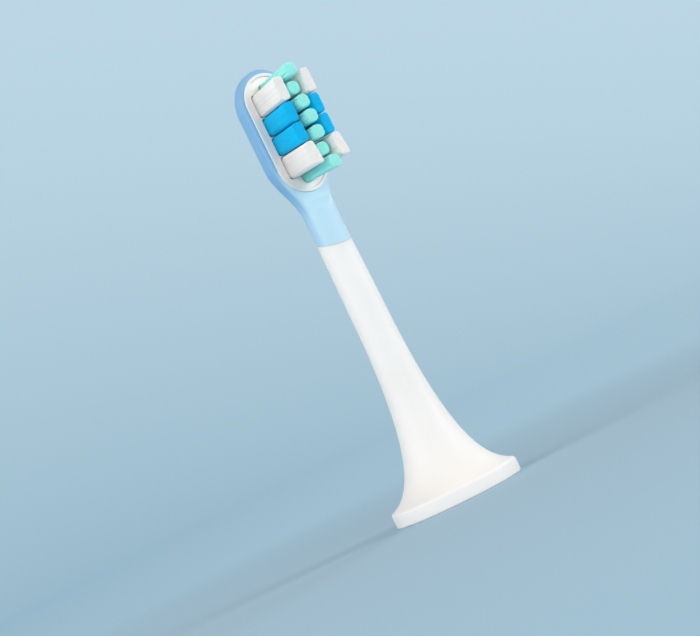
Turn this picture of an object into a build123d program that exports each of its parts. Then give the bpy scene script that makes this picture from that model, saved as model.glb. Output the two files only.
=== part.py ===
"""Electric toothbrush head.

A white stem rises from a bell-shaped foot and carries, inside a soft sleeve, the tray of the
head. A plate in the tray holds fifteen bristle tufts, whose fused ends lie behind it, and a
coupling pressed into the foot grips the drive shaft.

The origin is the centre of the foot's rim, +Z runs up the stem to the tip of the head, and the
bristles point to -Y. All sizes are in millimetres.
"""

import os
from math import radians, tan

from build123d import *

os.makedirs("parts", exist_ok=True)

# Overall
total_height = 80.2  # foot rim to the tip of the sleeve

# Foot and stem
foot_radius = 11.5
foot_rim_height = 2.5  # outer band of the foot
foot_rim_wall = 1.6  # ring that meets the handle
foot_rim_round = 0.6
foot_edge_round = 0.25
recess_lip = 0.9  # straight part of the recess, at its mouth
recess_top_radius = 5.2
stem_radius = 3.15  # stem where the flare has run out
stem_straight = 12.0  # stem between the flare and the sleeve
flare_lip_radius = 7.1  # first pull of the flare's curve
flare_lip_height = 3.9
flare_waist_height = 10.0  # second pull of the flare's curve

# Neck and sleeve
neck_radius = 2.97
neck_length = 5.7  # round neck of the sleeve, below the shoulders
neck_side = 0.01  # half of the flat sides of the neck's section, which is round but for them
joint_slope = 18.0  # degrees, the sleeve reaches lower in front
joint_edge_round = 0.2
sleeve_wall = 0.9  # over the core of the neck
sleeve_rim = 0.65  # beside the tray
tip_rim = 0.95  # above the tray
tip_length = 6.8  # rounded end of the head
sleeve_face = 1.3  # front of the sleeve, ahead of the stem's axis
sleeve_rim_round = 0.45
sleeve_back_round = 2.55
flank_drop = 16.7  # from the tip to where the straight flanks end
shoulder_length = 9.6
shoulder_steps = 6
scoop_length = 2.1  # foot of the shoulders, where the round neck becomes flat in front
scoop_steps = 6
scoop_round = 0.7  # front edges where the scoop ends

# Tray of the head
tray_width = 10.2
tray_length = 21.9
tray_wall = 0.55
tray_face = 1.62  # front edge of the tray, ahead of the stem's axis
tray_floor = 0.95
tray_round = 1.0
tang_width = 3.6
tang_thickness = 1.6
tang_cover = 0.75  # sleeve in front of the tang
tang_lap = 2.5  # tang inside the tray

# Plate and mat
plate_recess = 0.17
plate_thickness = 1.5
plate_clearance = 0.05
mat_thickness = 0.6

# Tufts
field_margin = 1.75  # from the ends of the tray to the end mint tufts
field_drop = 0.1  # middle of the tufts below the middle of the plate
field_lean = 0.25  # lean of every top toward the neck
field_fan = 0.045  # further lean of a top for each millimetre from the middle
block_inset = 1.4  # from the ends of the field to the end blocks
block_width = 1.95
block_centre = 2.48  # from the middle of the head to the middle of a block
block_gap = 0.2
block_corner = 0.5
block_splay = 0.4  # sideways lean of a block's top
white_share = 0.547  # of a white and a blue block's length together
white_tip_height = 8.2
white_neck_height = 8.6
white_neck_trim = 8.0  # degrees, slant of the tops at the neck
blue_height = 7.8
mint_count = 7
mint_width = 2.3
mint_share = 0.815  # of the pitch that a mint tuft fills
mint_corner = 0.75
mint_height = 7.5
mint_crown = 1.2  # extra height of the middle mint tuft
mint_end_height = 8.9
tuft_tip_round = 0.35
tuft_clearance = 0.03

# Coupling and its spring
shaft_radius = 1.6
shaft_clearance = 0.02
drive_radius = 1.3  # thinner end of the shaft, which has a flat
drive_flat = 0.85  # from the shaft's axis to its flat
socket_length = 8.0  # round part of the socket
drive_length = 8.0  # part of the socket with the flat
coupling_height = 6.2  # lower face of the coupling above the rim
coupling_radius = 2.5
coupling_cap = 1.5
coupling_clearance = 0.02
flange_radius = 4.0
flange_height = 1.6
mouth_chamfer = 0.3
spring_width = 1.6
spring_thickness = 0.25
spring_bow = 0.35
spring_clearance = 0.05

# Heights that follow
shoulder_top = total_height - flank_drop
shoulder_foot = shoulder_top - shoulder_length
joint_height = shoulder_foot - neck_length
joint_rise = neck_radius * tan(radians(joint_slope))
flare_top = joint_height - stem_straight
head_half_width = tray_width / 2 + sleeve_rim
tip_centre = total_height - tip_length
plate_centre = total_height - tip_rim - tray_length / 2
scoop_top = shoulder_foot + scoop_length
drive_base = coupling_height + socket_length
drive_top = drive_base + drive_length
coupling_top = drive_top + coupling_cap

# Levels ahead of the stem's axis that follow
plate_face = tray_face - plate_recess
plate_back = plate_face - plate_thickness
mat_back = plate_back - mat_thickness
tray_back = mat_back - tray_floor
tang_face = sleeve_face - tang_cover

# Plane of the slanted joint of stem and sleeve
joint_plane = Plane(
    origin=(0, 0, joint_height),
    x_dir=(1, 0, 0),
    z_dir=(0, -tan(radians(joint_slope)), 1),
)


def front_plane(level):
    """Plane across the head that faces the bristle side, at a level ahead of the stem's axis."""
    return Plane.XZ.offset(level)


def ease(start, end, share):
    """Value on the way from start to end that sets out and arrives level."""
    return start + (end - start) * share**2 * (3 - 2 * share)


def sleeve_section(level, front, front_round):
    """Section across the sleeve between the neck and the head, with its front ahead of the axis."""
    share = (level - shoulder_foot) / shoulder_length
    half_width = ease(neck_radius, head_half_width, share)
    back_round = ease(neck_radius - neck_side, sleeve_back_round, share)
    with BuildSketch(Plane.XY.offset(level)) as outline:
        with Locations((0, (neck_radius - front) / 2)):
            Rectangle(2 * half_width, neck_radius + front)
        fillet(outline.vertices().group_by(Axis.Y)[0], radius=front_round)
        fillet(outline.vertices().group_by(Axis.Y)[-1], radius=back_round)
    return outline.sketch


# Tuft layout: name, place across and along the head, section, height, lean and slant of the top
field_centre = plate_centre - field_drop
field_length = tray_length - 2 * field_margin
mint_pitch = field_length / (mint_count - 1 + mint_share)
mint_length = mint_share * mint_pitch
block_pair = (field_length - 2 * block_inset - 3 * block_gap) / 2
white_length = white_share * block_pair
blue_length = block_pair - white_length
blue_row = (blue_length + block_gap) / 2
white_row = blue_row + (blue_length + white_length) / 2 + block_gap
block_rows = [
    ("white_tip", white_row, white_length, white_tip_height, 0),
    ("blue_upper", blue_row, blue_length, blue_height, 0),
    ("blue_lower", -blue_row, blue_length, blue_height, 0),
    ("white_neck", -white_row, white_length, white_neck_height, white_neck_trim),
]
tufts = []
for side, sign in (("left", -1), ("right", 1)):
    for row, along, length, height, trim in block_rows:
        place = (sign * block_centre, field_centre + along)
        section = (block_width, length, block_corner)
        lean = (sign * block_splay, field_fan * along - field_lean)
        tufts.append((f"tuft_{row}_{side}", place, section, height, lean, trim))
mint_middle = (mint_count - 1) / 2
for number in range(mint_count):
    step = mint_middle - number
    along = step * mint_pitch
    place = (0, field_centre + along)
    section = (mint_width, mint_length, mint_corner)
    height = mint_height + mint_crown * (1 - (step / (mint_middle - 1)) ** 2)
    if number in (0, mint_count - 1):
        height = mint_end_height
    lean = (0, field_fan * along - field_lean)
    tufts.append((f"tuft_mint_{number + 1}", place, section, height, lean, 0))

# Core: the hard moulding inside the sleeve, tray, tang and neck, before its pocket is cut
with BuildPart() as core:
    with BuildSketch(front_plane(tray_face)):
        with Locations((0, plate_centre)):
            SlotOverall(tray_length, tray_width, rotation=90)
    extrude(amount=tray_back - tray_face)
    fillet(core.faces().sort_by(Axis.Y)[-1].edges(), radius=tray_round)
    tang_foot = joint_height + joint_rise
    tang_head = plate_centre - tray_length / 2 + tang_lap
    with BuildSketch(front_plane(tang_face)):
        with Locations((0, tang_foot)):
            Rectangle(tang_width, tang_head - tang_foot, align=(Align.CENTER, Align.MIN))
    extrude(amount=-tang_thickness)
    with BuildSketch(Plane.XY.offset(joint_height - 2 * joint_rise)):
        Circle(neck_radius - sleeve_wall)
    extrude(amount=2 * joint_rise + shoulder_foot - joint_height)

# Stem: the bell foot and the slim stem, with the core on top
with BuildPart() as stem:
    with BuildSketch(Plane.XZ):
        with BuildLine():
            rim = Line((foot_radius, 0), (foot_radius, foot_rim_height))
            flare = Bezier(
                rim @ 1,
                (flare_lip_radius, flare_lip_height),
                (stem_radius, flare_waist_height),
                (stem_radius, flare_top),
            )
            taper = Line(flare @ 1, (neck_radius, joint_height - 2 * joint_rise))
            upper = Line(taper @ 1, (neck_radius, joint_height + 2 * joint_rise))
            Polyline(upper @ 1, (0, joint_height + 2 * joint_rise), (0, 0), rim @ 0)
        make_face()
    revolve(axis=Axis.Z)
    rim_edges = stem.edges().filter_by(GeomType.CIRCLE).group_by(Axis.Z)
    fillet(rim_edges[1], radius=foot_rim_round)
    fillet(stem.faces().sort_by(Axis.Z)[0].edges(), radius=foot_edge_round)
    split(bisect_by=joint_plane, keep=Keep.BOTTOM)
    fillet(stem.faces().sort_by(Axis.Z)[-1].edges(), radius=joint_edge_round)
    add(core.part)
    with BuildSketch(front_plane(tray_face)):
        with Locations((0, plate_centre)):
            SlotOverall(tray_length - 2 * tray_wall, tray_width - 2 * tray_wall, rotation=90)
    extrude(amount=mat_back - tray_face, mode=Mode.SUBTRACT)
    with BuildSketch(Plane.XZ):
        with BuildLine():
            seat_radius = coupling_radius + coupling_clearance
            pocket_radius = flange_radius + coupling_clearance
            flange_top = coupling_height + flange_height
            Polyline(
                (0, 0),
                (foot_radius - foot_rim_wall, 0),
                (foot_radius - foot_rim_wall, recess_lip),
                (recess_top_radius, coupling_height),
                (pocket_radius, coupling_height),
                (pocket_radius, flange_top),
                (seat_radius, flange_top),
                (seat_radius, coupling_top),
                (0, coupling_top),
                close=True,
            )
        make_face()
    revolve(axis=Axis.Z, mode=Mode.SUBTRACT)
stem.part.label = "stem"
export_step(stem.part, "parts/stem.step")

# Soft sleeve: sections from the round neck up the scoop, and from there up the shoulders
scoop_sections = []
for step in range(scoop_steps + 1):
    share = step / scoop_steps
    front = ease(neck_radius, sleeve_face, share)
    front_round = ease(neck_radius - neck_side, scoop_round, share)
    scoop_sections.append(sleeve_section(shoulder_foot + share * scoop_length, front, front_round))
shoulder_sections = []
for step in range(shoulder_steps + 1):
    share = step / shoulder_steps
    front_round = ease(scoop_round, sleeve_rim_round, share)
    level = scoop_top + share * (shoulder_top - scoop_top)
    shoulder_sections.append(sleeve_section(level, sleeve_face, front_round))

# Soft sleeve: the neck, from the slanted joint to the shoulders
with BuildPart() as neck:
    extrude(scoop_sections[0], amount=-(neck_length + 2 * joint_rise))
    split(bisect_by=joint_plane, keep=Keep.TOP)

# Soft sleeve: the head, from its front outline, and the neck and shoulders below it, over the core
with BuildPart() as soft_sleeve:
    with BuildSketch(front_plane(sleeve_face)):
        with BuildLine():
            flank = Line((head_half_width, shoulder_top), (head_half_width, tip_centre))
            EllipticalCenterArc((0, tip_centre), head_half_width, tip_length, arc_size=90)
            Line(flank @ 0, (0, shoulder_top))
            mirror(about=Plane.YZ)
        make_face()
    extrude(amount=-(sleeve_face + neck_radius))
    fillet(soft_sleeve.faces().sort_by(Axis.Y)[-1].edges().sort_by(Axis.Z)[1:], radius=sleeve_back_round)
    fillet(soft_sleeve.faces().sort_by(Axis.Y)[0].edges().sort_by(Axis.Z)[1:], radius=sleeve_rim_round)
    loft(sections=shoulder_sections)
    loft(sections=scoop_sections)
    add(neck.part)
    add(core.part, mode=Mode.SUBTRACT)
soft_sleeve.part.label = "soft_sleeve"
export_step(soft_sleeve.part, "parts/soft_sleeve.step")

# Plate, with a hole for each tuft
slot_length = tray_length - 2 * (tray_wall + plate_clearance)
slot_width = tray_width - 2 * (tray_wall + plate_clearance)
with BuildPart() as tuft_plate:
    with BuildSketch(front_plane(plate_face)):
        with Locations((0, plate_centre)):
            SlotOverall(slot_length, slot_width, rotation=90)
        for name, place, (width, length, corner), height, lean, trim in tufts:
            with Locations(place):
                RectangleRounded(
                    width + 2 * tuft_clearance,
                    length + 2 * tuft_clearance,
                    corner + tuft_clearance,
                    mode=Mode.SUBTRACT,
                )
    extrude(amount=-plate_thickness)
tuft_plate.part.label = "tuft_plate"
export_step(tuft_plate.part, "parts/tuft_plate.step")

# Mat: the fused ends of the tufts, behind the plate
with BuildPart() as tuft_mat:
    with BuildSketch(front_plane(plate_back)):
        with Locations((0, plate_centre)):
            SlotOverall(slot_length, slot_width, rotation=90)
    extrude(amount=-mat_thickness)
tuft_mat.part.label = "tuft_mat"
export_step(tuft_mat.part, "parts/tuft_mat.step")

# Tufts: straight through the plate, then leaning out to a rounded, trimmed top
for name, place, (width, length, corner), height, lean, trim in tufts:
    top_plane = Plane(
        origin=(place[0] + lean[0], -(plate_face + height), place[1] + lean[1]),
        x_dir=(1, 0, 0),
        z_dir=(0, -1, tan(radians(trim))),
    )
    with BuildPart() as tuft:
        with BuildSketch(front_plane(plate_back)):
            with Locations(place):
                RectangleRounded(width, length, corner)
        extrude(amount=plate_thickness)
        with BuildSketch(front_plane(plate_face)):
            with Locations(place):
                RectangleRounded(width, length, corner)
        with BuildSketch(top_plane):
            RectangleRounded(width, length * (1 + field_fan), corner)
        loft()
        fillet(tuft.faces().sort_by(Axis.Y)[0].edges(), radius=tuft_tip_round)
    tuft.part.label = name
    export_step(tuft.part, f"parts/{name}.step")

# Coupling: a flanged insert with a round socket, and a flat above it that drives the head
with BuildPart() as shaft_coupling:
    with BuildSketch(Plane.XZ):
        with BuildLine():
            Polyline(
                (0, coupling_height),
                (flange_radius, coupling_height),
                (flange_radius, flange_top),
                (coupling_radius, flange_top),
                (coupling_radius, coupling_top),
                (0, coupling_top),
                close=True,
            )
        make_face()
    revolve(axis=Axis.Z)
    with BuildSketch(Plane.XY.offset(coupling_height)):
        Circle(shaft_radius + shaft_clearance)
    extrude(amount=socket_length, mode=Mode.SUBTRACT)
    flat_level = drive_flat + shaft_clearance
    with BuildSketch(Plane.XY.offset(drive_base)):
        Circle(drive_radius + shaft_clearance)
        with Locations((0, flat_level)):
            Rectangle(
                2 * coupling_radius,
                coupling_radius,
                align=(Align.CENTER, Align.MIN),
                mode=Mode.SUBTRACT,
            )
    extrude(amount=drive_length, mode=Mode.SUBTRACT)
    spring_pocket = flat_level + spring_thickness + spring_bow + spring_clearance
    with BuildSketch(Plane.XY.offset(drive_base)):
        with Locations((0, spring_pocket / 2)):
            Rectangle(spring_width + 2 * spring_clearance, spring_pocket)
    extrude(amount=drive_length, mode=Mode.SUBTRACT)
    mouth = shaft_coupling.faces().sort_by(Axis.Z)[0].inner_wires().edges()
    chamfer(mouth, length=mouth_chamfer)
shaft_coupling.part.label = "shaft_coupling"
export_step(shaft_coupling.part, "parts/shaft_coupling.step")

# Spring: a bowed steel leaf in the coupling, which presses on the flat of the shaft
with BuildPart() as coupling_spring:
    with BuildSketch(Plane.YZ):
        with BuildLine():
            spring_end = spring_pocket - spring_thickness / 2 - spring_clearance
            ThreePointArc(
                (spring_end, drive_base + spring_clearance),
                (flat_level + spring_thickness / 2, (drive_base + drive_top) / 2),
                (spring_end, drive_top - spring_clearance),
            )
        trace(line_width=spring_thickness)
    extrude(amount=spring_width / 2, both=True)
coupling_spring.part.label = "coupling_spring"
export_step(coupling_spring.part, "parts/coupling_spring.step")
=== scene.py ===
# %% [markdown]
# A head for an electric toothbrush, dressed for its picture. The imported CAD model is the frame: it
# is loaded first and nothing in it is moved. Its stem, sleeve, plate and coupling are mouldings with
# exact shapes. They could be modelled again here, but then two descriptions of one shape would have
# to agree, so they stay and only get finishes. Its bristle tufts are plain blocks, so each one is
# replaced by a bundle of single filaments. Lengths are in metres, and MM is one millimetre.

# %% Load the frame
import random
from math import cos, radians, sin

import bmesh
import bpy
from mathutils import Matrix, Vector
from mathutils.bvhtree import BVHTree


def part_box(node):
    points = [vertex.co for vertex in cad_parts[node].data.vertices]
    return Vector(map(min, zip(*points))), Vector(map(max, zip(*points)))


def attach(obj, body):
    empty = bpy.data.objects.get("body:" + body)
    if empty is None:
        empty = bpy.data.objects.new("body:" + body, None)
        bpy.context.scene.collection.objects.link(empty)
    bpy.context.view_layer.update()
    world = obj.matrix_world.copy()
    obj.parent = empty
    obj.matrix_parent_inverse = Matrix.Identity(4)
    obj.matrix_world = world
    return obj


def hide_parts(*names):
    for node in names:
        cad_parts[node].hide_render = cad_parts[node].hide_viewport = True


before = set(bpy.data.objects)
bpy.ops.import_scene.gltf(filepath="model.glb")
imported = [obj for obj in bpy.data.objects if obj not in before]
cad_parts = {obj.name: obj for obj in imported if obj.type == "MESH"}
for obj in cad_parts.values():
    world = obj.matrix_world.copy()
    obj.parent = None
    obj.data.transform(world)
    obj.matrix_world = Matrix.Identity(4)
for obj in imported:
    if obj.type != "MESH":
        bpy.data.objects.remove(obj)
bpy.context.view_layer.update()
scene = bpy.context.scene
scene.view_settings.view_transform = "Standard"
MM = 0.001
print("frame:", len(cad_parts), "nodes")

# %% [markdown]
# The camera looks at the bristle side from the left and from a little below, and it is rolled, so the
# brush leans to the left in the picture. A constraint could aim it, but it would keep the camera
# level. Three unit vectors are used instead: the picture's right, its top and the way to the viewer.
# They are the axes of the camera, and they also place the lamps, because light is easiest to think of
# as coming from the picture's right or from its top.

# %% Camera
PHOTO_WIDTH = 700
FOCAL_PIXELS = 1840
AZIMUTH, ELEVATION, ROLL = radians(-36.06), radians(-2.737), radians(-25.989)
CAMERA_RIGHT, CAMERA_UP, CAMERA_DISTANCE = -0.851 * MM, -5.55 * MM, 310.56 * MM
MIDDLE_HEIGHT = 40 * MM
toward_camera = Vector((sin(AZIMUTH) * cos(ELEVATION), -cos(AZIMUTH) * cos(ELEVATION), sin(ELEVATION)))
level_right = Vector((cos(AZIMUTH), sin(AZIMUTH), 0))
level_up = toward_camera.cross(level_right)
picture_right = cos(ROLL) * level_right + sin(ROLL) * level_up
picture_up = cos(ROLL) * level_up - sin(ROLL) * level_right
middle = Vector((0, 0, MIDDLE_HEIGHT))


def picture_place(right, up, toward):
    """A place given by its distances from the middle of the brush along the picture's directions."""
    return middle + right * picture_right + up * picture_up + toward * toward_camera


camera = bpy.data.objects.new("camera", bpy.data.cameras.new("camera"))
camera.data.sensor_width = 36
camera.data.lens = camera.data.sensor_width * FOCAL_PIXELS / PHOTO_WIDTH
camera.data.clip_start = 10 * MM
camera_axes = Matrix((picture_right, picture_up, toward_camera)).transposed().to_4x4()
camera_place = picture_place(CAMERA_RIGHT, CAMERA_UP, CAMERA_DISTANCE)
camera.matrix_world = Matrix.Translation(camera_place) @ camera_axes
scene.collection.objects.link(camera)
scene.camera = camera
print("camera:", [round(x, 4) for x in camera.location], "lens", round(camera.data.lens, 1))

# %% [markdown]
# Finishes are patterns that shader nodes work out. The nodes could be added and linked one at a time,
# but then a sum of three terms takes a dozen lines. One small class holds an output socket instead:
# plus, minus and times add Math nodes, and one method adds any other node, with its settings first
# and then the values or links of its sockets. Shader sums then read as Python sums.


# %% Sockets that can be added up
class Wire:
    """An output socket of a node tree."""

    def __init__(self, tree, socket=None):
        self.tree = tree
        self.socket = socket

    def node(self, kind, settings, values, output=0):
        """Adds any node and gives one of its outputs."""
        node = self.tree.nodes.new(kind)
        for name, setting in settings.items():
            setattr(node, name, setting)
        for name, value in values.items():
            if isinstance(value, Wire):
                self.tree.links.new(value.socket, node.inputs[name])
            else:
                node.inputs[name].default_value = value
        return Wire(self.tree, node.outputs[output])

    def math(self, operation, *terms):
        """Adds a Math node on wires and numbers."""
        return self.node("ShaderNodeMath", {"operation": operation}, dict(enumerate(terms)))

    def __add__(self, other):
        return self.math("ADD", self, other)

    __radd__ = __add__

    def __sub__(self, other):
        return self.math("SUBTRACT", self, other)

    def __rsub__(self, other):
        return self.math("SUBTRACT", other, self)

    def __mul__(self, other):
        return self.math("MULTIPLY", self, other)

    __rmul__ = __mul__

    def step(self, low, high):
        """0 below low, 1 above high and smooth between them."""
        values = {"Value": self, "From Min": low, "From Max": high}
        return self.node("ShaderNodeMapRange", {"interpolation_type": "SMOOTHSTEP"}, values)

    def mix(self, first, second):
        """The first colour where this value is 0 and the second where it is 1."""
        values = {0: self, 6: first, 7: second}
        return self.node("ShaderNodeMix", {"data_type": "RGBA"}, values, output=2)

    def seen(self):
        """1 for rays that are looked along, straight, in a mirror or through glass, and 0 for others."""
        rays = ("Is Camera Ray", "Is Glossy Ray", "Is Transmission Ray")
        return sum(self.node("ShaderNodeLightPath", {}, {}, output=ray) for ray in rays)

    def surface(self, output_node):
        """Sends this shader to the node that ends the tree."""
        self.tree.links.new(self.socket, self.tree.nodes[output_node].inputs["Surface"])


print("Wire: sums of sockets")

# %% [markdown]
# Each finish starts in the same way: a material, one Principled shader with the values that are the
# same all over, and coordinates to draw the patterns in. UV maps would have to be unwrapped first and
# would stretch, so the patterns use Object coordinates. Those are metres on the part itself, so a
# grain of a tenth of a millimetre has that size on every piece.


# %% Finishes
class Finish:
    """A material with one Principled shader, and the wires that its patterns start from."""

    def __init__(self, name, **constants):
        self.material = bpy.data.materials.new(name)
        self.material.use_nodes = True
        tree = self.material.node_tree
        self.shader = tree.nodes["Principled BSDF"]
        for socket, value in constants.items():
            self.shader.inputs[socket.replace("_", " ")].default_value = value
        self.start = Wire(tree)
        self.place = self.start.node("ShaderNodeTexCoord", {}, {}, output="Object")

    def axis(self, name):
        """One of the coordinates X, Y or Z, in metres."""
        return self.start.node("ShaderNodeSeparateXYZ", {}, {"Vector": self.place}, output=name)

    def noise(self, size, stretch=(1, 1, 1), detail=3.0):
        """Noise whose blotches are about as large as the size, drawn out along the axes."""
        scale = [1 / (size * s) for s in stretch]
        place = self.start.node("ShaderNodeMapping", {}, {"Vector": self.place, "Scale": scale})
        values = {"Vector": place, "Scale": 1.0, "Detail": detail}
        return self.start.node("ShaderNodeTexNoise", {}, values)

    def feed(self, socket, wire):
        """Links a pattern to a socket of the shader."""
        self.start.tree.links.new(wire.socket, self.shader.inputs[socket])

    def bump(self, height, depth):
        """Relief from a height between 0 and 1, of a depth in metres."""
        values = {"Height": height, "Distance": depth, "Strength": 1.0}
        self.feed("Normal", self.start.node("ShaderNodeBump", {}, values))

    def dress(self, node):
        """Gives this finish to a CAD node."""
        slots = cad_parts[node].data.materials
        slots.clear()
        slots.append(self.material)
        print("finish:", self.material.name, "on", node)


def grey(level):
    """A colour with no hue."""
    return (level, level, level, 1)


print("Finish: materials in Object coordinates")

# %% [markdown]
# The stem is a satin white moulding, a little translucent, so light evens out inside it. One white and
# one roughness would look like paint. Some scattering below the surface gives the depth of the
# plastic, a slow noise the faint clouding of a thick moulding, and a fine noise the skin that a
# spark-eroded mould leaves. The skin varies the roughness too, so that the highlight along the flare
# is not a clean line.

# %% White moulding
white = Finish(
    "white_moulding",
    Subsurface_Weight=0.35,
    Subsurface_Radius=(1.6 * MM, 1.6 * MM, 1.6 * MM),
    Subsurface_Scale=1.0,
    IOR=1.48,
    Coat_Weight=0.05,
    Coat_Roughness=0.35,
)
cloud = white.noise(9 * MM)
skin = white.noise(0.12 * MM, detail=2.0)
white.feed("Base Color", cloud.mix(grey(0.87), grey(0.9)))
white.feed("Roughness", 0.42 + 0.08 * skin + 0.06 * cloud)
white.bump(skin, 0.004 * MM)
white.dress("stem")

# %% [markdown]
# The sleeve is a soft rubbery skin moulded over the white core. Its colour is blended from a pale
# blue in front and round the neck to a deeper blue on the walls, on the back of the head and on the
# rim beside the tray. The deeper blue is painted shade for walls that turn from the light, and the
# pale blue is the sleeve painted as lit. Scattering through a thin skin over the core could make the
# front paler, but it takes many samples and an exported model would lose it. The depth behind the
# plate's face and the height above the plate's lower end set where the blend lies. The surface has a
# fine grain with no gloss.

# %% Soft blue skin
# Painted shade: the deeper blue stands for shade on the walls and the back, the pale blue for the lit
# front.
LIT_FRONT_BLUE = (0.51, 0.76, 0.92, 1)
SHADED_WALL_BLUE = (0.215, 0.46, 0.74, 1)
plate_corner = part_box("tuft_plate")[0]
blue_skin = Finish(
    "soft_blue_skin",
    Subsurface_Weight=0.2,
    Subsurface_Radius=(0.5 * MM, 0.8 * MM, 1.0 * MM),
    Subsurface_Scale=1.0,
    IOR=1.45,
    Sheen_Weight=0.12,
    Sheen_Roughness=0.4,
)
depth = blue_skin.axis("Y") - plate_corner.y
height = blue_skin.axis("Z") - plate_corner.z
on_head = height.step(-6.95 * MM, 2.05 * MM)
wall_shade = depth.step(0.05 * MM, 1.15 * MM) * (0.35 + 0.65 * on_head)
rim_shade = height.step(0.05 * MM, 6.05 * MM)
grain = blue_skin.noise(0.14 * MM, detail=2.0)
drift = blue_skin.noise(6 * MM)
# The blend is painted shade, deepest on the walls, on the rim and on the back of the head.
sleeve_shade_blend = wall_shade + rim_shade * (1 - wall_shade) + 0.1 * (drift - 0.5)
blue_skin.feed("Base Color", sleeve_shade_blend.mix(LIT_FRONT_BLUE, SHADED_WALL_BLUE))
blue_skin.feed("Roughness", 0.42 + 0.16 * grain)
blue_skin.bump(grain, 0.008 * MM)
blue_skin.dress("soft_sleeve")

# %% [markdown]
# The plate that holds the tufts is a harder white. It is written a shade warmer than the stem, because
# the blue and mint round it throw their own colours on it. The fused mat behind it shows the cells of
# the melted filament ends. They could be modelled one by one, but the plate hides them, so a Voronoi
# texture draws them.

# %% Plate and mat
plate = Finish(
    "plate_white",
    Subsurface_Weight=0.2,
    Subsurface_Radius=(0.8 * MM, 0.8 * MM, 0.9 * MM),
    Subsurface_Scale=1.0,
    IOR=1.48,
)
fine = plate.noise(0.1 * MM, detail=2.0)
plate.feed("Base Color", plate.noise(3 * MM).mix((0.92, 0.865, 0.865, 1), (0.94, 0.885, 0.885, 1)))
plate.feed("Roughness", 0.34 + 0.12 * fine)
plate.bump(fine, 0.004 * MM)
plate.dress("tuft_plate")
CELL_SIZE = 0.18 * MM
melted = Finish("melted_mat", IOR=1.5)
cells = melted.start.node("ShaderNodeTexVoronoi", {}, {"Vector": melted.place, "Scale": 1 / CELL_SIZE})
melted.feed("Base Color", cells.mix(grey(0.86), grey(0.7)))
melted.feed("Roughness", 0.35 + 0.2 * cells)
melted.bump(1 - cells, 0.02 * MM)
melted.dress("tuft_mat")

# %% [markdown]
# The coupling in the foot is a grey glass-filled moulding, speckled by its fibres, and its leaf is
# rolled spring steel, whose fine lines run along the strip. Anisotropic gloss could stand for the
# lines, but it needs a tangent at every point. One noise, drawn out along the stem, needs none: a
# little for the fibres, and a lot for the lines.

# %% Coupling and spring
grey_moulding = Finish("grey_moulding", IOR=1.52)
fibre = grey_moulding.noise(0.25 * MM, stretch=(1, 1, 4))
grey_moulding.feed("Base Color", fibre.step(0.35, 0.7).mix((0.4, 0.42, 0.44, 1), (0.5, 0.52, 0.54, 1)))
grey_moulding.feed("Roughness", 0.4 + 0.15 * fibre)
grey_moulding.bump(fibre, 0.006 * MM)
grey_moulding.dress("shaft_coupling")
spring_steel = Finish("spring_steel", Metallic=1.0)
lines = spring_steel.noise(0.05 * MM, stretch=(1, 1, 60))
spring_steel.feed("Base Color", lines.mix((0.55, 0.56, 0.58, 1), (0.7, 0.71, 0.73, 1)))
spring_steel.feed("Roughness", 0.22 + 0.14 * lines)
spring_steel.bump(lines, 0.002 * MM)
spring_steel.dress("coupling_spring")

# %% [markdown]
# Bristles are nylon: bright, with a faint sheen along each filament. A material for every filament
# would be far too many, so each colour has one, and every filament carries a number of its own in the
# attribute strand, so that no two have quite the same shade. The colour also drifts with the distance
# from the plate. Mint is deeper near the plate, which is painted shade where the roots stand among
# the tufts. It is paler toward its tips, which is painted light, as if light shone out of the rounded
# ends. White and blue dull a little at their tips.

# %% Three colours of nylon
ROOT_COLOUR_ENDS, BODY_COLOUR_STARTS = -0.05 * MM, 3.05 * MM
BODY_COLOUR_ENDS, TIP_COLOUR_STARTS = 6.05 * MM, 9.05 * MM
ROOT_BODY_TIP = {
    "white": ((0.97, 0.965, 0.95, 1), (0.97, 0.965, 0.955, 1), (0.95, 0.95, 0.94, 1)),
    "blue": ((0.001, 0.58, 0.97, 1), (0.001, 0.6, 0.98, 1), (0.002, 0.56, 0.96, 1)),
    # Painted shade and light: mint is deeper at its roots and paler at its tips.
    "mint": ((0.3, 0.98, 0.86, 1), (0.37, 0.98, 0.92, 1), (0.43, 0.98, 0.94, 1)),
}


def nylon(name, root, body, tip):
    """The finish of a bundle, from the colours at its roots, along its body and at its tips."""
    finish = Finish(name, IOR=1.53, Specular_IOR_Level=0.18)
    strand = finish.start.node("ShaderNodeAttribute", {"attribute_name": "strand"}, {}, output="Fac")
    reach = plate_corner.y - finish.axis("Y")
    lower = reach.step(ROOT_COLOUR_ENDS, BODY_COLOUR_STARTS).mix(root, body)
    whole = reach.step(BODY_COLOUR_ENDS, TIP_COLOUR_STARTS).mix(lower, tip)
    values = {"Color": whole, "Value": 0.95 + 0.1 * strand}
    finish.feed("Base Color", finish.start.node("ShaderNodeHueSaturation", {}, values))
    finish.feed("Roughness", 0.34 + 0.14 * strand)
    return finish


nylons = {colour: nylon(f"nylon_{colour}", *tones) for colour, tones in ROOT_BODY_TIP.items()}
print("finishes:", [finish.material.name for finish in nylons.values()])

# %% [markdown]
# One filament is a six-sided rod with a rounded end, modelled once: a cone with equal radii, whose
# upper rim is bevelled. Hair curves would be lighter, but they are not a mesh that can be exported.
# A few faces with smooth shading are enough, because the rod is repeated thousands of times and is
# barely wider than a pixel. It is bevelled at a usual length, so that the rounding is not stretched,
# and then made one unit long for its copies. Bundles are modelled in millimetres, because ray tests
# in metres get lost among faces of a hundredth of a millimetre.

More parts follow.
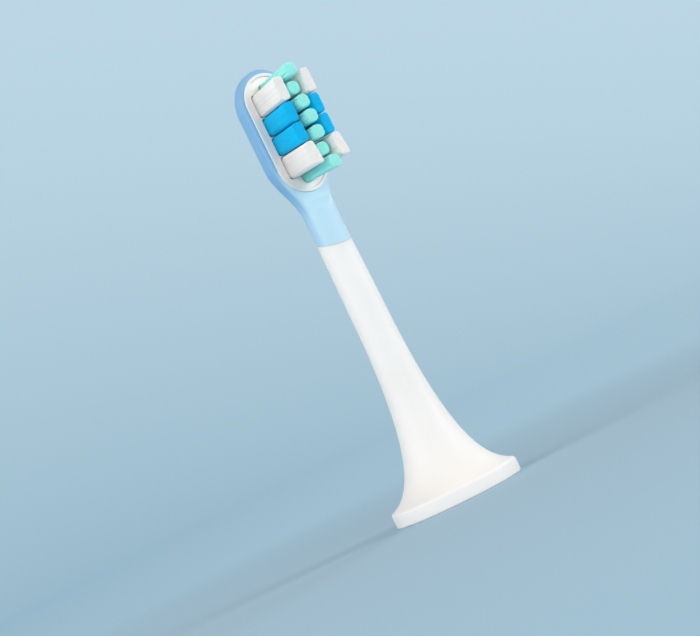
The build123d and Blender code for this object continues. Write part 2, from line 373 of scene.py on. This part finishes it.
# %% One filament
FILAMENT_SIDES = 6
FILAMENT_RADIUS = 0.095
FILAMENT_LENGTH = 8
TIP_ROUNDING = 0.6 * FILAMENT_RADIUS
rod = bmesh.new()
bmesh.ops.create_cone(rod, cap_ends=True, segments=FILAMENT_SIDES, radius1=1, radius2=1, depth=1)
bmesh.ops.translate(rod, verts=rod.verts, vec=(0, 0, 0.5))
upper_rim = [e for e in rod.edges if all(v.co.z > 0.9 for v in e.verts)]
bmesh.ops.scale(rod, verts=rod.verts, vec=(FILAMENT_RADIUS, FILAMENT_RADIUS, FILAMENT_LENGTH))
bmesh.ops.bevel(
    rod,
    geom=upper_rim,
    offset=TIP_ROUNDING,
    offset_type="OFFSET",
    segments=2,
    profile=0.5,
    affect="EDGES",
    material=-1,
)
bmesh.ops.scale(rod, verts=rod.verts, vec=(1, 1, 1 / FILAMENT_LENGTH))
for face in rod.faces:
    face.smooth = True
filament = bpy.data.meshes.new("filament")
rod.to_mesh(filament)
rod.free()
print("filament:", len(filament.polygons), "faces")

# %% [markdown]
# A tuft has to follow its CAD block: the section at the plate, the lean, the spread toward the top
# and the trimmed, rounded end. These could be typed in again, but then a change of the block would be
# missed here, so they are measured. A copy of the block is merged and cut at two levels, and the boxes
# of the two cuts give its lean and spread. The walls are kept for the trimmed end: a ray sent up a
# filament shows where it leaves the block.

# %% Measuring a block
ROOT_LEVEL = 0.5
UPPER_LEVEL = 5.5
MERGE_DISTANCE = 0.001
plate_level = plate_corner.y / MM


def verts_of(geometry):
    """The vertices among what an operator gives back."""
    return [g for g in geometry if isinstance(g, bmesh.types.BMVert)]


def edges_of(geometry):
    """The edges among what an operator gives back."""
    return [g for g in geometry if isinstance(g, bmesh.types.BMEdge)]


def section(solid, level):
    """Middle and half size of the block's cut at a height above the plate."""
    geometry = solid.verts[:] + solid.edges[:] + solid.faces[:]
    plane = {"plane_co": (0, plate_level - level, 0), "plane_no": (0, 1, 0)}
    cut = bmesh.ops.bisect_plane(solid, geom=geometry, **plane)["geom_cut"]
    points = [vert.co for vert in verts_of(cut)]
    low = Vector([min(p[i] for p in points) for i in range(3)])
    high = Vector([max(p[i] for p in points) for i in range(3)])
    return (low + high) / 2, (high - low) / 2


def measured(node):
    """The walls of a tuft's CAD block and its sections near the plate and farther out."""
    solid = bmesh.new()
    solid.from_mesh(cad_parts[node].data)
    bmesh.ops.scale(solid, verts=solid.verts, vec=(1 / MM, 1 / MM, 1 / MM))
    bmesh.ops.remove_doubles(solid, verts=solid.verts, dist=MERGE_DISTANCE)
    walls = BVHTree.FromBMesh(solid)
    root_section = section(solid, ROOT_LEVEL)
    upper_section = section(solid, UPPER_LEVEL)
    solid.free()
    return walls, root_section, upper_section


print("plate face at", round(plate_level, 3), "mm")

# %% [markdown]
# The roots of a bundle stand in a hexagonal grid, as packed filaments do. Scattered points would leave
# gaps and overlaps. The grid fills the box of the section, and a root is kept only where the nearest
# wall of the block is at least about a filament's radius away, which rounds the corners of the bundle
# without knowing their radius.

# %% Setting out the roots
FILAMENT_PITCH = 0.162
ROW_PITCH = FILAMENT_PITCH * sin(radians(60))
WALL_DISTANCE = 0.9 * FILAMENT_RADIUS


def grid(half_size):
    """The places of a hexagonal grid in a section, as shares of its half size."""
    room = half_size - Vector((FILAMENT_RADIUS, 0, FILAMENT_RADIUS))
    rows = round(2 * room.x / ROW_PITCH) + 1
    places = round(2 * room.z / FILAMENT_PITCH) + 1
    for row in range(rows):
        for place in range(places - row % 2):
            across = 2 * row / (rows - 1) - 1
            along = (2 * place + row % 2) / (places - 1) - 1
            yield Vector((across * room.x / half_size.x, 0, along * room.z / half_size.z))


def stands_inside(root, walls):
    """Whether a filament with this root keeps within the walls of the block."""
    wall_point, outward, _, distance = walls.find_nearest(root)
    return distance >= WALL_DISTANCE and outward.dot(wall_point - root) >= 0


print("filaments every", FILAMENT_PITCH, "mm, in rows", round(ROW_PITCH, 3), "mm apart")

# %% [markdown]
# Each filament is a copy of the rod, sheared by one matrix from its foot, down in the plate's hole, to
# its tip. Instances would take less memory, but copies make one mesh of a bundle, which rides and
# exports as one piece. No filament leans quite as its neighbour does, and a trimmed end is never
# quite level, so each one draws a small stray and a small shortfall. The draws come from a seed for
# each tuft, so that every run gives the same bristles.

# %% Bundles in place of the blocks
STRAY = 0.02
SHORTFALL = 0.1
ROOT_DEPTH = 0.5
foot_share = (ROOT_LEVEL + ROOT_DEPTH) / (UPPER_LEVEL - ROOT_LEVEL)


def rod_matrix(foot, tip):
    """Takes the upright rod to a foot and a tip, with its rings level with the plate."""
    return Matrix.Translation(foot) @ Matrix(((1, 0, 0), (0, 0, 1), tip - foot)).transposed().to_4x4()


def stand_in(tuft, node, colour):
    """Makes a bundle an object that stands for its CAD block."""
    bmesh.ops.scale(tuft, verts=tuft.verts, vec=(MM, MM, MM))
    bmesh.ops.recalc_face_normals(tuft, faces=tuft.faces)
    mesh = bpy.data.meshes.new(node.replace("tuft", "bristles"))
    tuft.to_mesh(mesh)
    tuft.free()
    mesh.materials.append(nylons[colour].material)
    piece = bpy.data.objects.new(mesh.name, mesh)
    scene.collection.objects.link(piece)
    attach(piece, "root")
    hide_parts(node)


def bundle(node, colour, seed):
    """Replaces the CAD block of a tuft by filaments and gives their number."""
    chance = random.Random(seed)
    walls, (root_middle, root_half), (upper_middle, upper_half) = measured(node)
    tuft = bmesh.new()
    tuft.from_mesh(filament)
    strand = tuft.verts.layers.float.new("strand")
    pattern = tuft.verts[:] + tuft.edges[:] + tuft.faces[:]
    shares = [s for s in grid(root_half) if stands_inside(root_middle + s * root_half, walls)]
    for share in shares:
        root = root_middle + share * root_half
        stray = Vector((chance.uniform(-1, 1), 0, chance.uniform(-1, 1))) * STRAY
        lean = upper_middle + share * upper_half + stray - root
        tip = walls.ray_cast(root, lean)[0] - lean.normalized() * chance.uniform(0, SHORTFALL)
        verts = verts_of(bmesh.ops.duplicate(tuft, geom=pattern)["geom"])
        bmesh.ops.transform(tuft, verts=verts, matrix=rod_matrix(root - lean * foot_share, tip))
        shade = chance.random()
        for vert in verts:
            vert[strand] = shade
    bmesh.ops.delete(tuft, geom=verts_of(pattern), context="VERTS")
    stand_in(tuft, node, colour)
    return len(shares)


tufts = {
    node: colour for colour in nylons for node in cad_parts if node.startswith(f"tuft_{colour}_")
}
total = 0
for seed, node in enumerate(sorted(tufts)):
    total += bundle(node, tufts[node], seed)
print("filaments:", total)

# %% [markdown]
# The stage is a studio sweep: a floor that curves up into a wall behind the brush. A floor and a wall
# could be two planes, but they would meet in a horizon line. Here one edge in front is extruded for
# the floor, spun through a quarter turn for the curve and extruded again for the wall.

# %% Paper sweep
SWEEP_RADIUS = 0.5
SWEEP_HALF_WIDTH = 2.5
FLOOR_IN_FRONT = 2.5
FLOOR_BEHIND = 1.0
WALL_HEIGHT = 1.6
away = Vector((-sin(AZIMUTH), cos(AZIMUTH), 0))
sweep = bmesh.new()
front_corners = [
    sweep.verts.new(side * SWEEP_HALF_WIDTH * level_right - FLOOR_IN_FRONT * away) for side in (-1, 1)
]
front_edge = sweep.edges.new(front_corners)
floor_end = bmesh.ops.extrude_edge_only(sweep, edges=[front_edge])["geom"]
bmesh.ops.translate(sweep, verts=verts_of(floor_end), vec=(FLOOR_IN_FRONT + FLOOR_BEHIND) * away)
curve_end = bmesh.ops.spin(
    sweep,
    geom=edges_of(floor_end) + verts_of(floor_end),
    cent=FLOOR_BEHIND * away + Vector((0, 0, SWEEP_RADIUS)),
    axis=level_right,
    dvec=(0, 0, 0),
    angle=radians(90),
    steps=24,
    use_duplicate=False,
)["geom_last"]
wall_top = bmesh.ops.extrude_edge_only(sweep, edges=edges_of(curve_end))["geom"]
bmesh.ops.translate(sweep, verts=verts_of(wall_top), vec=(0, 0, WALL_HEIGHT))
bmesh.ops.recalc_face_normals(sweep, faces=sweep.faces)
for face in sweep.faces:
    face.smooth = True
sweep_mesh = bpy.data.meshes.new("paper_sweep")
sweep.to_mesh(sweep_mesh)
sweep.free()
floor = bpy.data.objects.new("paper_sweep", sweep_mesh)
scene.collection.objects.link(floor)
print("stage:", len(sweep_mesh.polygons), "faces")

# %% [markdown]
# The paper is pale blue, so that a white stem stands out on it. A stronger lamp on it could make it
# pale, but it would burn out the stem. So it is lit paper only close to the brush, where it takes the
# shadow. Farther out it glows with its own colour for every ray that is looked along, and gives no
# light. That glow is a little deeper toward the picture's lower edge and paler toward its top. This
# is painted shade and painted light, as if more light fell high on the wall. Near its ends it fades
# to the backdrop's colour, so that no edge of it shows.

# %% Pale blue paper
PALE_BLUE = (0.5, 0.67, 0.78, 1)
SHADED_PAPER_BLUE = (0.3, 0.47, 0.58, 1)
LIT_BLUE = (0.375, 0.55, 0.69, 1)
DEEP_BELOW, PALE_ABOVE = -0.22, 0.38
LIT_WITHIN, GLOWS_FROM = 0.03, 0.2
FADES_FROM, FADED_AT = 0.8, 2.3
paper = Finish("sweep_paper", Base_Color=LIT_BLUE, Roughness=0.9, IOR=1.3)


def measure(operation, *places):
    """A length or dot product of places on the paper."""
    values = dict(enumerate((paper.place, *places)))
    return paper.start.node("ShaderNodeVectorMath", {"operation": operation}, values, output="Value")


spread = measure("LENGTH")
# Painted shade and light: the glow deepens toward the picture's lower edge and pales toward its top.
rise = measure("DOT_PRODUCT", picture_up).step(DEEP_BELOW, PALE_ABOVE)
far_out = spread.step(FADES_FROM, FADED_AT)
tone = (rise + far_out * (1 - rise)).mix(SHADED_PAPER_BLUE, PALE_BLUE)
glow = paper.start.node("ShaderNodeEmission", {}, {"Color": tone})
lit_paper = Wire(paper.start.tree, paper.shader.outputs["BSDF"])
glowing = paper.start.seen() * spread.step(LIT_WITHIN, GLOWS_FROM)
even_paper = paper.start.node("ShaderNodeMixShader", {}, {0: glowing, 1: lit_paper, 2: glow})
even_paper.surface("Material Output")
sweep_mesh.materials.append(paper.material)
print("paper:", paper.material.name)

# %% [markdown]
# The light is soft, a little warm and nearly even, because white mouldings burn out easily. One large
# lamp would be softer still, but it would leave the tufts and the back dark. The key comes from the
# picture's right and from above, and a wide fill from the left. One lamp near the camera reaches the
# tips of the bristles, one beside the brush the sides of the tufts, and one behind it lights the back
# and draws the edge of the neck. The world fills in evenly, and what is seen of it past the paper has
# the paper's colour.

# %% Light
LAMP_COLOUR = (1, 0.945, 0.89)
WORLD_COLOUR = (1, 0.93, 0.87, 1)
WORLD_STRENGTH = 0.475


def lamp(name, place, size, power):
    """A square area lamp that faces the middle of the brush."""
    data = bpy.data.lights.new(name, "AREA")
    data.size = size
    data.energy = power
    data.color = LAMP_COLOUR
    lamp_object = bpy.data.objects.new(name, data)
    lamp_object.location = place
    lamp_object.rotation_euler = (middle - place).to_track_quat("-Z", "Y").to_euler()
    scene.collection.objects.link(lamp_object)


lamp("key", picture_place(0.5, 0.45, 0.12), size=0.3, power=2.0)
lamp("fill", picture_place(-0.35, -0.05, 0.5), size=0.5, power=1.82)
lamp("front", picture_place(0.15, 0.1, 0.6), size=0.4, power=1.05)
lamp("side", picture_place(-0.55, 0.1, 0.15), size=0.3, power=0.9)
lamp("back", picture_place(0.3, 0.6, -0.45), size=0.35, power=1.1)
world = bpy.data.worlds.new("studio")
world.use_nodes = True
sky = Wire(world.node_tree)
lit_world = sky.node("ShaderNodeBackground", {}, {"Color": WORLD_COLOUR, "Strength": WORLD_STRENGTH})
backdrop = sky.node("ShaderNodeBackground", {}, {"Color": PALE_BLUE})
sky.node("ShaderNodeMixShader", {}, {0: sky.seen(), 1: lit_world, 2: backdrop}).surface("World Output")
scene.world = world
